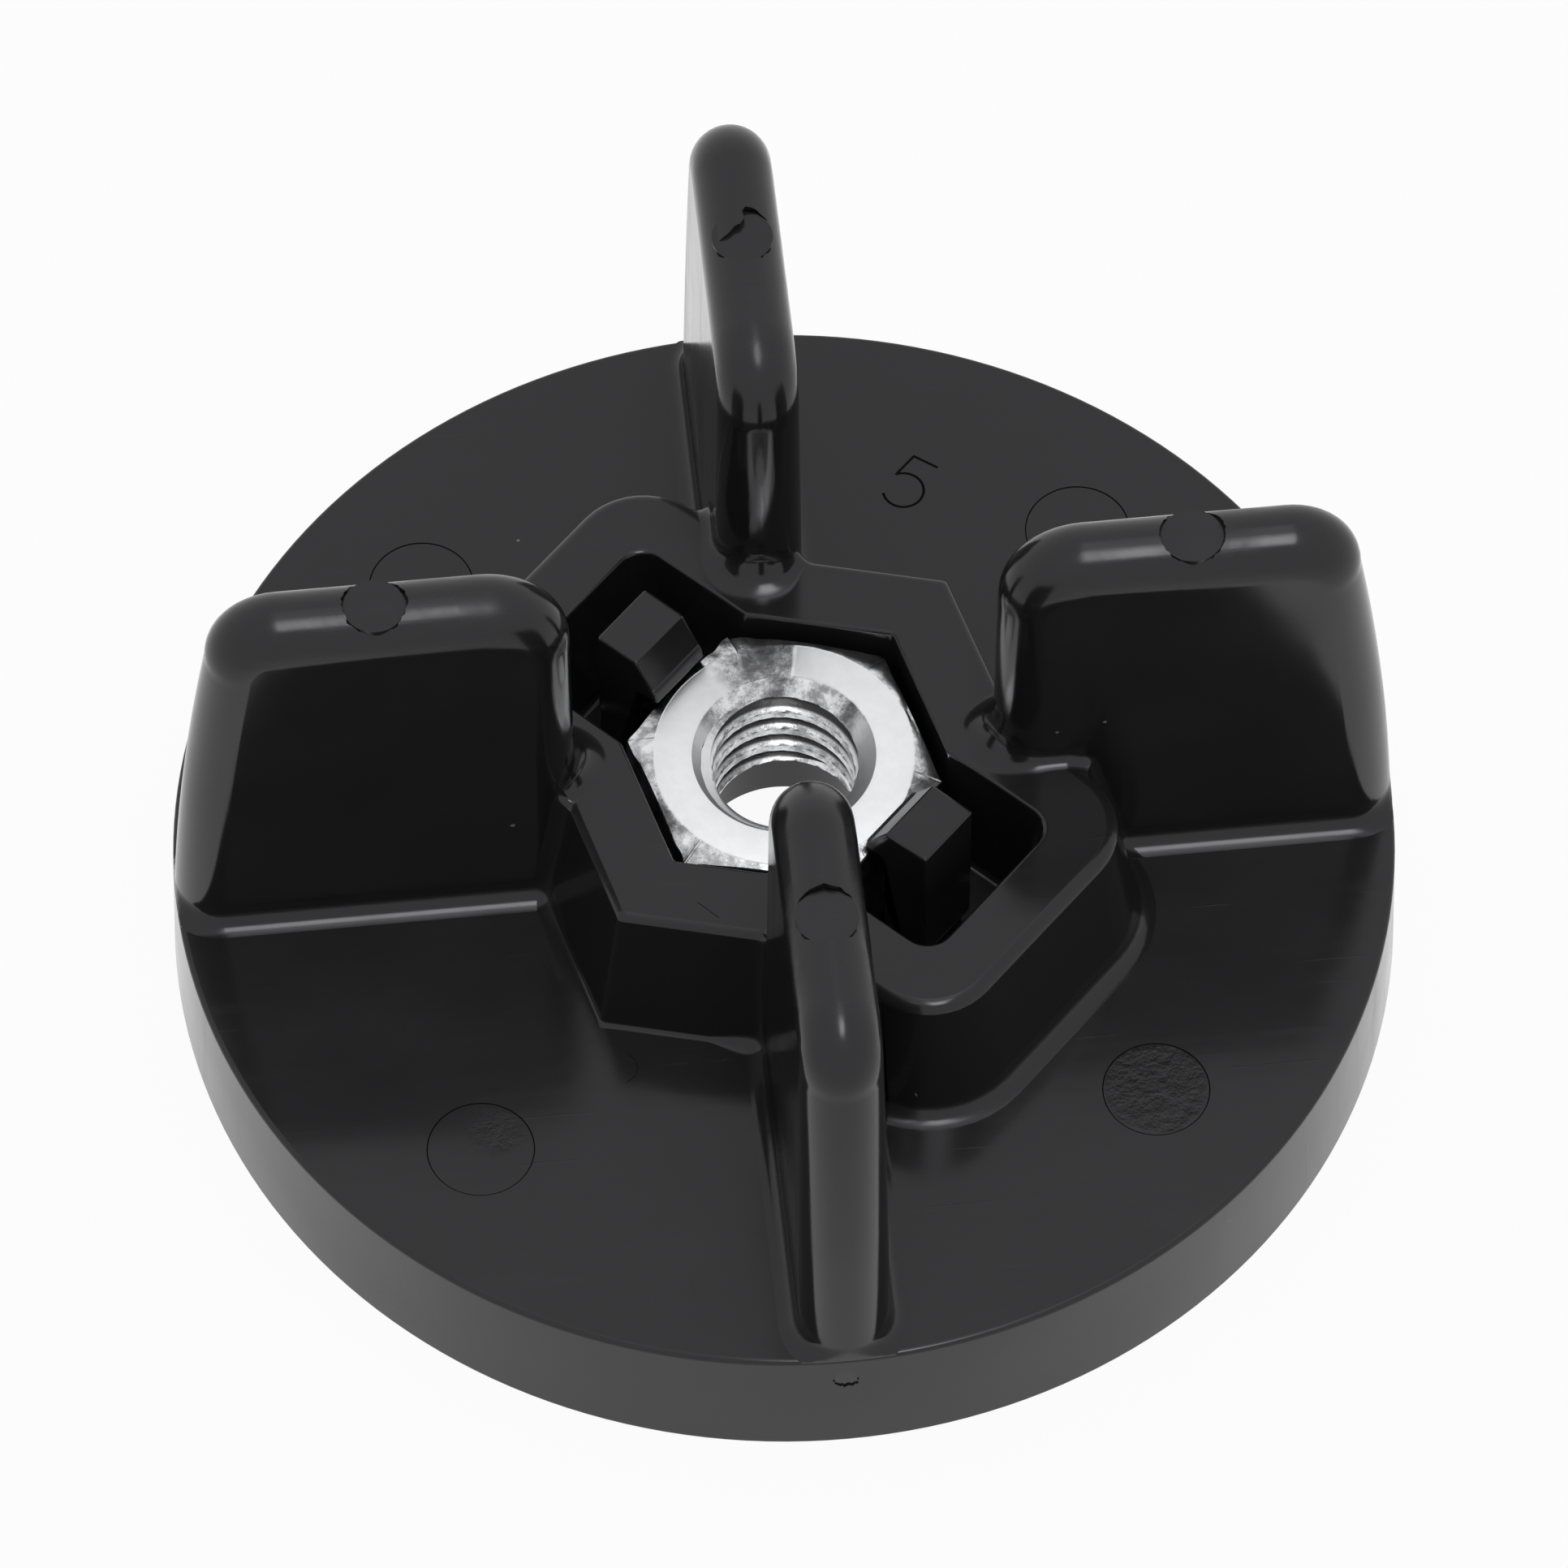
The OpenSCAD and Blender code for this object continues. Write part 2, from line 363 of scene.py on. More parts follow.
hair = np.array([[-8.42, -11.07], [-8.1, -11.5], [-7.98, -11.98], [-8.18, -12.4], [-8.58, -12.72]]) * MM
cutters.append(scribe("hair", hair, hair_w, hair_w, deck))

chance = np.random.default_rng(8)
gate_r = 0.62 * MM
gate_z = deck - 1.6 * MM
gate_x = -0.1 * MM
gate_depth = 0.02 * MM
gate_points = 40
ragged = gate_r + chance.normal(0, 0.04 * MM, gate_points)
gate = np.zeros((2, gate_points, 3))
gate[:, :, [0, 2]] = circle(ragged, (gate_x, gate_z), turns=gate_points)
gate[:, :, 1] = np.array([-base_r - cutter_reach, -base_r + gate_depth])[:, None]
cutters.append(solid("gate", gate))
carve(base, cutters)
southwest, southeast = pin_marks[2:]
gloss = black_plastic("moulded_black", scarred=[
    (southeast[0], southeast[1], pin_mark_r, 0.3 * MM, 0.07),
    (southwest[0] + 0.9 * MM, southwest[1] + 0.8 * MM, 1.8 * MM, 1.6 * MM, 0.03)])
base.data.materials.append(gloss)
polish(base)
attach(base, "knob")
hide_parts("base_plate", "rim_skirt")

# ---------------------------------------------------------------------------
# Nut socket. A hexagonal wall with two clip bays on one diagonal, the same
# plastic as the base. The bays have wide round corners and a soft foot; the
# hexagon's foot is nearly sharp.

socket_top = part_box("socket_wall_northeast")[1].z
socket_h = socket_top - deck
sunk = 0.3 * MM
clip_turn = math.radians(135)
socket_af = 20.7 * MM
bay_span = 30.6 * MM
bay_w = 15.3 * MM
socket_draft = 1.2 * MM
pocket_af = 13.8 * MM
pocket_span = 24.6 * MM
pocket_w = 9 * MM
pocket_end_lean = 0.7 * MM
pocket_side_lean = 0.25 * MM
pocket_foot_r = 0.3 * MM
wall_lean = math.atan(socket_draft / socket_h)
foot_r = 0.9 * MM
hexagon_foot_r = 0.25 * MM


def bay_corners(flats, span, width):
    """Corners of a hexagon joined to a long rectangle, anticlockwise, x along the rectangle:
    the rectangle's sides meet the hexagon's slanting walls at four inward corners."""
    half = width / 2
    peak = flats / 2 / math.cos(math.radians(30))
    notch = (peak - half) / math.tan(math.radians(30))
    quarter = [(span / 2, half), (notch, half), (0, peak)]
    return quarter + [
        (-notch, half), (-span / 2, half), (-span / 2, -half),
        (-notch, -half), (0, -peak), (notch, -half), (span / 2, -half)]


def on_clips(points):
    """Turns flat (x, y) points so that their x runs along the clips."""
    c, s = math.cos(clip_turn), math.sin(clip_turn)
    return points @ np.array([[c, s], [-s, c]])


bay_corner = np.array([1, 0, 0, 0, 1, 1, 0, 0, 0, 1])
notch_corner = np.array([0, 1, 0, 1, 0, 0, 1, 0, 1, 0])
peak_corner = 1 - bay_corner - notch_corner
corner_steps = 10
outer_corner_radii = (3.5 * bay_corner + 0.4 * notch_corner + 0.35 * peak_corner) * MM
pocket_corner_radii = (1.3 * bay_corner + 0.3 * notch_corner + 0.25 * peak_corner) * MM
bay_edge_r = 0.6 * MM
hexagon_edge_r = 0.4 * MM


def pocket_line(end_lean, side_lean):
    """Inside of the socket at one level, and how each point moves as the outline grows."""
    return [on_clips(flat) for flat in rounded(
        bay_corners(pocket_af, pocket_span - 2 * end_lean, pocket_w - 2 * side_lean),
        pocket_corner_radii, steps=corner_steps, guard=0.05 * MM)]


outer_line, outer_spread = rounded(
    bay_corners(socket_af, bay_span, bay_w), outer_corner_radii,
    growth=bay_corner, steps=corner_steps, guard=0.05 * MM)
outer_line, outer_spread = on_clips(outer_line), on_clips(outer_spread)
pocket_top, pocket_spread = pocket_line(0, 0)
pocket_foot, _ = pocket_line(pocket_end_lean, pocket_side_lean)


def wall_profile(foot, edge, steps=9):
    """Outside of the socket wall as (offset, height) rows, from the plate to the flat top.

    A hollow arc of radius foot rises from the plate into the leaning wall, and a round arc of
    radius edge turns the wall into the top. Both radii may differ from column to column."""
    c, s = math.cos(wall_lean), math.sin(wall_lean)
    rise = np.linspace(math.pi / 2, wall_lean, steps)[:, None]
    foot_centre = socket_draft + foot * (1 - s) / c
    edge_centre = socket_draft - (edge + (socket_h - edge) * s) / c
    fall = np.linspace(wall_lean, math.pi / 2, steps)[:, None]
    guard = 0.05 * MM
    offset = np.concatenate([
        foot_centre - foot * np.cos(rise),
        [foot_centre - foot * c - guard * s],
        [edge_centre + edge * c + guard * s],
        edge_centre + edge * np.cos(fall),
        [edge_centre - guard]])
    height = np.concatenate([
        foot - foot * np.sin(rise),
        [foot - foot * s + guard * c],
        [socket_h - edge + edge * s - guard * c],
        socket_h - edge + edge * np.sin(fall),
        [socket_h + 0 * edge]])
    return offset, height


columns_each = corner_steps + 3
on_bay = np.repeat(bay_corner, columns_each) > 0
foot_radii = np.where(on_bay, foot_r, hexagon_foot_r)
edge_radii = np.where(on_bay, bay_edge_r, hexagon_edge_r)
offset, height = wall_profile(foot_radii, edge_radii)
outer_rows = outer_line + offset[:, :, None] * outer_spread
outer_rows = np.concatenate([outer_rows, (deck + height)[:, :, None]], axis=2)
lip = 0.15 * MM
lip_angle = np.linspace(math.pi / 2, 0, 6)
foot_angle = np.linspace(0, math.pi / 2, 7)
inner_offset = np.concatenate([
    [lip + 0.05 * MM], lip - lip * np.cos(lip_angle), [0], pocket_foot_r * (np.cos(foot_angle) - 1)])
inner_height = np.concatenate([
    [socket_h], socket_h - lip + lip * np.sin(lip_angle), [socket_h / 2],
    pocket_foot_r * (1 - np.sin(foot_angle))])
lowered = (1 - inner_height / socket_h)[:, None, None]
inner_rows = pocket_top + (pocket_foot - pocket_top) * lowered + inner_offset[:, None, None] * pocket_spread
inner_rows = np.concatenate([
    inner_rows,
    np.broadcast_to((deck + inner_height)[:, None, None], inner_rows.shape[:2] + (1,))], axis=2)
first_row = outer_rows[:1] - [0, 0, sunk]
last_row = inner_rows[-1:] * [1, 1, 0] + [0, 0, deck - sunk]
socket = solid("socket", np.concatenate([first_row, outer_rows, inner_rows, last_row]), rings=True)
scratch_w = 0.04 * MM
scratch_depth = 0.03 * MM
scratch = np.linspace([-4.8, -8.0], [-3.9, -8.95], 4) * MM
carve(socket, [scribe("scratch", scratch, scratch_w, scratch_depth, socket_top)])
socket.data.materials.append(gloss)
polish(socket)
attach(socket, "knob")
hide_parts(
    "socket_wall_northeast", "socket_wall_southwest", "clip_bay_northwest", "clip_bay_southeast")

# ---------------------------------------------------------------------------
# Wings. Four slabs with a full round edge, part of the same moulding. Each flares into the
# plate, and a ball-shaped blend runs down both its sides where it meets the socket and round
# its inner end. An ejector pin leaves a flat disc on each top.

wing_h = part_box("wing_east")[1].z - deck
wing_inner = 9.6 * MM
wing_foot_t = 4.2 * MM
wing_top_t = 3.7 * MM
outer_r = 3.35 * MM
inner_r = 3.9 * MM
inner_lean = 0.15 * MM
outer_draft = 0.055
outer_bow = 3.0


def half_thickness(z):
    """Half the wing's thickness at a height above the plate; it tapers evenly."""
    return wing_foot_t / 2 + (wing_top_t - wing_foot_t) / 2 * z / wing_h


def outer_end(z):
    """Distance from the axis to the outer end: it leans in, and more so higher up."""
    return base_r - outer_draft * z - outer_bow * z * z


def inner_end(z):
    """Distance from the axis to the inner end."""
    return wing_inner + inner_lean * z / (wing_h - inner_r)


def wing_shape(foot_steps=9, leg_steps=10, round_steps=18, end_steps=20):
    """Wing along +X as level slices, foot to crest.

    A slice is a stadium: two long sides and two round ends. Below the corner's centre an end
    is a half circle of the wing's own thickness. Above it the slice cuts a torus, so that
    x = corner + sqrt((R - t + sqrt(t^2 - y^2))^2 - rise^2), with R the corner's radius, t half
    the thickness and rise the height above the corner's centre. Near the plate the whole
    slice grows by the hollow arc that flares it."""
    tilt = np.linspace(math.pi / 2, 0, foot_steps)
    crest = np.linspace(math.pi / 2, 0, round_steps)
    t_top = half_thickness(wing_h)
    z = np.concatenate([
        foot_r - foot_r * np.sin(tilt),
        [foot_r + 0.05 * MM],
        np.linspace(foot_r, wing_h - inner_r, leg_steps)[1:],
        np.linspace(wing_h - inner_r, wing_h - t_top, 9)[1:-1],
        wing_h - t_top + t_top * np.cos(crest)])
    flare = np.zeros_like(z)
    flare[:foot_steps] = foot_r - foot_r * np.cos(tilt)
    z = np.concatenate([[-sunk], z])[:, None]
    flare = np.concatenate([[foot_r], flare])[:, None]
    t = half_thickness(z)
    t[z[:, 0] > wing_h - t_top] = t_top
    across = np.linspace(-math.pi / 2, math.pi / 2, end_steps + 1)[None, :]

    def end(reach, radius):
        corner_z = wing_h - radius
        rise = np.maximum(z - corner_z, 0)
        widest = np.sqrt(np.maximum(t * t - np.maximum(rise - (radius - t), 0) ** 2, 0))
        y = widest * np.sin(across)
        ring = radius - t + np.sqrt(np.maximum(t * t - y * y, 0))
        x = reach(np.minimum(z, corner_z)) - radius + np.sqrt(np.maximum(ring * ring - rise * rise, 0))
        return x, y

    x_out, y_out = end(outer_end, outer_r)
    x_in, y_in = end(lambda height: -inner_end(height), inner_r)
    guard = 0.05 * MM
    x = np.concatenate([
        x_out[:, :1] - guard, x_out, x_out[:, -1:] - guard,
        -x_in[:, :1] + guard, -x_in, -x_in[:, -1:] + guard], axis=1)
    y = np.concatenate([
        y_out[:, :1], y_out, y_out[:, -1:],
        -y_in[:, :1], -y_in, -y_in[:, -1:]], axis=1)
    lean_x = np.cos(across[0])
    lean_y = np.sin(across[0])
    nx = np.concatenate([[0], lean_x, [0], [0], -lean_x, [0]])
    ny = np.concatenate([[-1], lean_y, [1], [1], -lean_y, [-1]])
    x = x + flare * nx
    y = y + flare * ny
    limit = base_r - 0.03 * MM
    beyond = np.maximum(np.hypot(x, y) / limit, 1)
    x = np.where(z < foot_r, x / beyond, x)
    y = np.where(z < foot_r, y / beyond, y)
    return np.stack([x, y, np.broadcast_to(deck + z, x.shape)], axis=-1)


def blend_side(side, wall_angle, wall_distance, radius, wall_foot, wall_edge, inner_radius, steps=16):
    """Path of a ball that rolls along one side of a wing: up the corner with the socket wall,
    over the wall's edge and along its flat top to the wing's inner end.

    The ball's centre lies reach = t + radius from the wing's middle plane, or from the axis of
    its round inner end, and a radius away from the wall's profile. On the flat side that puts
    it at x = (wall - sin(lean) reach) / cos(lean). On the round end it stands at the angle
    theta = lean + arccos((wall - cos(lean) end) / reach) from the wing's length. Between the
    two hollow feet it sinks until it rests on the plate.
    Returns the centres, the directions from the wing and from the socket, and the radii."""
    c, s = math.cos(wall_lean), math.sin(wall_lean)
    spare = foot_r - radius
    edge_angle = np.linspace(wall_lean, math.pi / 2, steps)
    z_wall_end = socket_h - wall_edge + (wall_edge + radius) * s
    z_foot = foot_r - spare * np.sin(np.linspace(math.pi / 2, 0, steps))
    z_c = np.concatenate([z_foot, np.linspace(foot_r, z_wall_end, steps)[1:-1]])
    tilt = np.arcsin(np.clip((foot_r - z_c) / spare, 0, 1))
    y_c = foot_r - spare * np.cos(tilt)
    q_c = (socket_draft * c + radius - z_c * s) / c
    wall_tilt = np.full_like(tilt, wall_lean)
    if wall_foot > radius:
        foot_centre = socket_draft + foot_r * (1 - s) / c
        wall_tilt = np.maximum(tilt, wall_lean)
        q_c = np.where(tilt > wall_lean, foot_centre - spare * np.cos(wall_tilt), q_c)
    edge_centre = socket_draft - (wall_edge + (socket_h - wall_edge) * s) / c
    q_c = np.concatenate([q_c, edge_centre + (wall_edge + radius) * np.cos(edge_angle)])
    z_c = np.concatenate([z_c, socket_h - wall_edge + (wall_edge + radius) * np.sin(edge_angle)])
    y_c = np.concatenate([y_c, np.full(steps, radius)])
    tilt = np.concatenate([tilt, np.zeros(steps)])
    wall_tilt = np.concatenate([wall_tilt, edge_angle])
    radii = np.full(len(z_c), radius)

    lean = side * wall_angle
    reach = half_thickness(z_c) + y_c
    end = inner_end(z_c) + half_thickness(z_c)
    wall = wall_distance + q_c
    flat_x = (wall - math.sin(lean) * reach) / math.cos(lean)
    round_theta = lean + np.arccos(np.clip((wall - math.cos(lean) * end) / reach, -1, 1))
    theta = np.where(flat_x > end, math.pi / 2, round_theta)
    x = np.maximum(flat_x, end) + reach * np.cos(theta)
    y = side * reach * np.sin(theta)

    travel = np.linspace(0, 1, 3 * steps)[1:]
    grown = radius + (inner_radius - radius) * travel * travel * (3 - 2 * travel)
    level = socket_h + grown
    t = half_thickness(level)
    straight = max(flat_x[-1] - end[-1], 0)
    bend = math.pi - theta[-1]
    turn_at = straight / (straight + bend * (t[-1] + inner_radius))
    turned = theta[-1] + bend * np.maximum(travel - turn_at, 0) / (1 - turn_at)
    ahead = straight * np.maximum(turn_at - travel, 0) / max(turn_at, 0.001)
    x = np.concatenate([x, inner_end(level) + t + ahead + (t + grown) * np.cos(turned)])
    y = np.concatenate([y, side * (t + grown) * np.sin(turned)])
    z_c = np.concatenate([z_c, level])
    theta = np.concatenate([theta, turned])
    tilt = np.concatenate([tilt, 0 * travel])
    wall_tilt = np.concatenate([wall_tilt, 0 * travel + math.pi / 2])
    radii = np.concatenate([radii, grown])
    centre = np.stack([x, y, z_c], axis=-1)
    from_wing = np.stack([
        np.cos(theta) * np.cos(tilt),
        side * np.sin(theta) * np.cos(tilt),
        np.sin(tilt)], axis=-1)
    from_wall = np.stack([
        np.cos(wall_tilt) * math.cos(wall_angle),
        np.cos(wall_tilt) * math.sin(wall_angle),
        np.sin(wall_tilt)], axis=-1)
    if wall_foot > radius:
        return centre, from_wing, from_wall, radii

    fading = np.linspace(1, 0, steps)[:-1]
    shrunk = radius + (0.9 * wall_foot - radius) * fading * fading * (3 - 2 * fading)
    y_far = y[0] + side * 2.5 * radius * fading
    stand = wall_distance + socket_draft + shrunk * (1 - s) / c
    x_far = (stand - math.sin(wall_angle) * y_far) / math.cos(wall_angle)
    centre = np.concatenate([np.stack([x_far, y_far, shrunk], axis=-1), centre])
    from_wing = np.concatenate([np.tile([0, 0, 1], (steps - 1, 1)), from_wing])
    from_wall = np.concatenate([np.tile(from_wall[0], (steps - 1, 1)), from_wall])
    return centre, from_wing, from_wall, np.concatenate([shrunk, radii])


def blend_surface(centre, from_wing, from_wall, radii, steps=16):
    """Hollow surface that the rolling ball leaves, closed into a wedge behind.

    Its points are centre - radius * n, where n turns evenly from the wing's direction to the
    wall's. The back of the wedge stands inside the wing and the wall. n is also the direction
    in which each point is shaded, so that the blend runs on into the wing and the wall."""
    cosine = np.clip((from_wing * from_wall).sum(axis=1), -1, 1)
    angle = np.maximum(np.arccos(cosine), 0.0001)[:, None, None]
    share = np.linspace(0, 1, steps + 1)[None, :, None]
    n = (np.sin((1 - share) * angle) * from_wing[:, None] + np.sin(share * angle) * from_wall[:, None])
    n = n / np.linalg.norm(n, axis=2, keepdims=True)
    face = centre[:, None] - radii[:, None, None] * n
    depth = 0.15 * MM
    mitre = (from_wing + from_wall) / (1 + cosine[:, None])
    back = np.stack([
        face[:, -1] - depth * from_wall,
        centre - (radii[:, None] + depth) * mitre,
        face[:, 0] - depth * from_wing], axis=1)
    outward = np.concatenate([n, from_wall[:, None], mitre[:, None], from_wing[:, None]], axis=1)
    return np.concatenate([face, back], axis=1) + [0, 0, deck], outward


rubbed_gloss = black_plastic("moulded_black_wing", satin_from=deck + wing_h - 2.5 * MM)
hexagon_side = math.radians(15)
bay_side = math.radians(45)
hexagon_blend_r = 0.8 * MM
bay_blend_r = 0.6 * MM
inner_blend_r = 1.9 * MM
pin_r = 1.5 * MM
pin_x = 18.5 * MM
pin_depth = 0.36 * MM
pin_groove = 0.12 * MM
pin_gap = 0.09 * MM
pin_ragged = 0.06 * MM
pin_face_root = 1.6 * MM
torn_wing = 1
torn_from, torn_to = 27, 94
torn_edge = np.array([
    [1.2, -0.1], [0.8, -0.18], [0.5, 0.05], [0.42, 0.3], [0.1, 0.62], [-0.1, 1.0], [-0.22, 1.3]]) * MM
hand = {"wing_east": 1, "wing_north": -1, "wing_west": 1, "wing_south": -1}
for number, (name, side) in enumerate(hand.items()):
    turn = number * math.pi / 2
    c, s = math.cos(turn), math.sin(turn)
    about_axis = np.array([[c, s, 0], [-s, c, 0], [0, 0, 1]])
    wing = solid(name + "_slab", wing_shape() @ about_axis)
    chance = np.random.default_rng(number + 1)
    ragged = np.convolve(np.tile(chance.normal(0, 1, 96), 3), [0.25, 0.5, 0.25], "same")[96:192]
    mark = circle(pin_r + pin_ragged * ragged, (pin_x, 0))
    if number == torn_wing:
        mark = np.concatenate([mark[torn_from:torn_to], [pin_x, 0] + torn_edge])
    mark = mark @ about_axis[:2, :2]
    crest = deck + wing_h
    carve(wing, [upright("pin", mark, crest - pin_depth - pin_groove, crest + cutter_reach)])
    face = circle(pin_r - pin_gap, (pin_x, 0)) @ about_axis[:2, :2]
    carve(wing, [upright("pin_face", face, crest - pin_face_root, crest - pin_depth)], "UNION")
    polish(wing)
    first = blend_side(
        side, side * hexagon_side, socket_af / 2,
        hexagon_blend_r, hexagon_foot_r, hexagon_edge_r, inner_blend_r)
    second = blend_side(
        -side, side * bay_side, bay_w / 2,
        bay_blend_r, foot_r, bay_edge_r, inner_blend_r)
    path = [np.concatenate([a, b[-2::-1]]) for a, b in zip(first, second)]
    surface, outward = blend_surface(*path)
    blend = solid(name + "_blend", surface @ about_axis, outward=outward @ about_axis)
    for piece in (wing, blend):
        piece.data.materials.append(rubbed_gloss)
        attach(piece, "knob")
    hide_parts(name)

# ---------------------------------------------------------------------------
# Clips. Two springy fingers of the same plastic, each rising from a round root
# in its bay. A hook at the top holds the nut's flat, and a slope above it lets
# the nut be pushed in.

clip_w = 3.5 * MM
clip_back = 9.7 * MM
clip_stem_t = 2.3 * MM
clip_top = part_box("clip_northwest")[1].z - deck
hook_under = 7.15 * MM
hook_tip = 6.15 * MM
clip_gap = 0.2 * MM
clip_line, clip_spread = rounded(
    [(clip_back - clip_stem_t, clip_gap), (clip_back, clip_gap), (clip_back, clip_top),
     (clip_back - clip_stem_t, clip_top), (hook_tip + 0.3 * MM, hook_under + 0.78 * MM),
     (hook_tip + 0.22 * MM, hook_under + 0.76 * MM), (hook_tip + 0.18 * MM, hook_under + 0.62 * MM),
     (hook_tip + 0.1 * MM, hook_under + 0.6 * MM), (hook_tip, hook_under + 0.1 * MM),
     (hook_tip, hook_under),
     (clip_back - clip_stem_t - 0.15 * MM, hook_under)],
    np.array([1.15, 1.15, 0.15, 0.2, 0.03, 0.03, 0.03, 0.03, 0.04, 0.04, 0.4]) * MM, guard=0.01 * MM)
clip_edge = 0.15 * MM
edge_turn = np.linspace(0, math.pi / 2, 4)
clip_inset = np.concatenate([
    clip_edge * (1 - np.sin(edge_turn)), [0], [0], clip_edge * (1 - np.cos(edge_turn))])
clip_side = clip_w / 2 - clip_edge + clip_edge * np.cos(edge_turn)
clip_guard = 0.03 * MM
clip_across = np.concatenate([
    clip_side, [clip_w / 2 - clip_edge - clip_guard], [clip_guard - clip_w / 2 + clip_edge],
    -clip_side[::-1]])
for name, body, way in (("clip_northwest", "northwest_clip", 1), ("clip_southeast", "southeast_clip", -1)):
    a, z = (clip_line[None] - clip_inset[:, None, None] * clip_spread[None]).transpose(2, 0, 1)
    flat = np.stack([a, np.broadcast_to(clip_across[:, None], a.shape)], axis=-1)
    clip = solid(name + "_finger", np.concatenate([on_clips(flat) * way, deck + z[..., None]], axis=2))
    clip.data.materials.append(gloss)
    polish(clip)
    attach(clip, body)
    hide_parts(name)

# ---------------------------------------------------------------------------
# Hex nut. Zinc-plated steel, 5/16-18: cold formed, so its corners are a little
# ragged, then tapped and countersunk at both ends.

nut_low, nut_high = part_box("hex_nut")
nut_h = nut_high.z - nut_low.z
nut_af = 12.7 * MM
nut_face_r = 6.03 * MM
sink_r = 4.25 * MM
sink_h = 1.1 * MM
thread_start = 0.68
thread_minor_r = 3.3 * MM
thread_major_r = 3.969 * MM
thread_pitch = 25.4 / 18 * MM


def thread_radius(angle, z):
    """Radius of the tapped bore. Across one pitch the wall stays at the minor radius over the
    crest, slopes at 60 degrees to the major radius, and stays there over the root; the
    pattern climbs one pitch in each turn. The countersinks cut its ends back."""
    place = (z / thread_pitch - angle / (2 * math.pi) + thread_start) % 1
    from_root = np.abs(place - 0.5) * thread_pitch
    root_flat = thread_pitch / 16
    slope = (thread_major_r - (from_root - root_flat) * math.tan(math.radians(60)))
    wall = np.clip(slope, thread_minor_r, thread_major_r)
    from_end = np.minimum(z, nut_h - z)
    cone = sink_r - from_end * (sink_r - thread_minor_r) / sink_h
    return np.maximum(wall, cone)


six = np.arange(6) * math.pi / 3 + math.radians(45)
nut_corner = nut_af / 2 / math.cos(math.radians(30))
nut_corner_r = 0.15 * MM
nut_line, _ = rounded(
    np.stack([nut_corner * np.cos(six), nut_corner * np.sin(six)], axis=1), nut_corner_r, steps=5)
start = nut_line.reshape(6, -1, 2)
between = np.linspace(0, 1, 26)[1:-1, None]
sides = start[:, -1:] + (np.roll(start[:, :1], -1, axis=0) - start[:, -1:]) * between
nut_line = np.concatenate([start, sides], axis=1).reshape(-1, 2)
nut_angle = np.arctan2(nut_line[:, 1], nut_line[:, 0])
nut_out = np.hypot(nut_line[:, 0], nut_line[:, 1])
bore_z = np.linspace(0, nut_h, 150)[:, None]
bore = np.stack(np.broadcast_arrays(thread_radius(nut_angle % (2 * math.pi), bore_z), bore_z), axis=-1)
nut_bevel = math.tan(math.radians(24))
drop = (nut_out - nut_face_r) * nut_bevel
chance = np.random.default_rng(31)
burr = np.convolve(chance.normal(0, 1, len(nut_out) + 2), [0.3, 0.4, 0.3], "valid")
burr_from = 6.6 * MM
burr = burr * np.clip((nut_out - burr_from) / (0.4 * MM), 0, 1)
dent = np.convolve(chance.normal(0, 1, len(nut_out) + 2), [0.3, 0.4, 0.3], "valid")
nut_out = nut_out + 0.1 * MM * burr
soft = 0.05 * MM
full = np.ones_like(nut_out)
face = [
    ((sink_r + soft) * full, nut_h * full),
    ((nut_face_r - soft) * full, nut_h * full),
    ((nut_face_r + soft) * full, nut_h - soft * nut_bevel * full),
    ((nut_face_r + nut_out) / 2, nut_h - drop / 2 + (0.03 * dent + 0.05 * burr) * MM),
    (nut_out - soft, nut_h - drop + soft * nut_bevel),
    (nut_out, nut_h - drop - soft)]
upper = np.array(face).transpose(0, 2, 1)
lower = upper[::-1] * [1, -1] + [0, nut_h]
loops = np.concatenate([bore, upper, lower])
nut_grid = np.stack([
    loops[..., 0] * np.cos(nut_angle),
    loops[..., 0] * np.sin(nut_angle),
    nut_low.z + loops[..., 1]], axis=-1)
nut = solid("threaded_nut", nut_grid, rings=True)


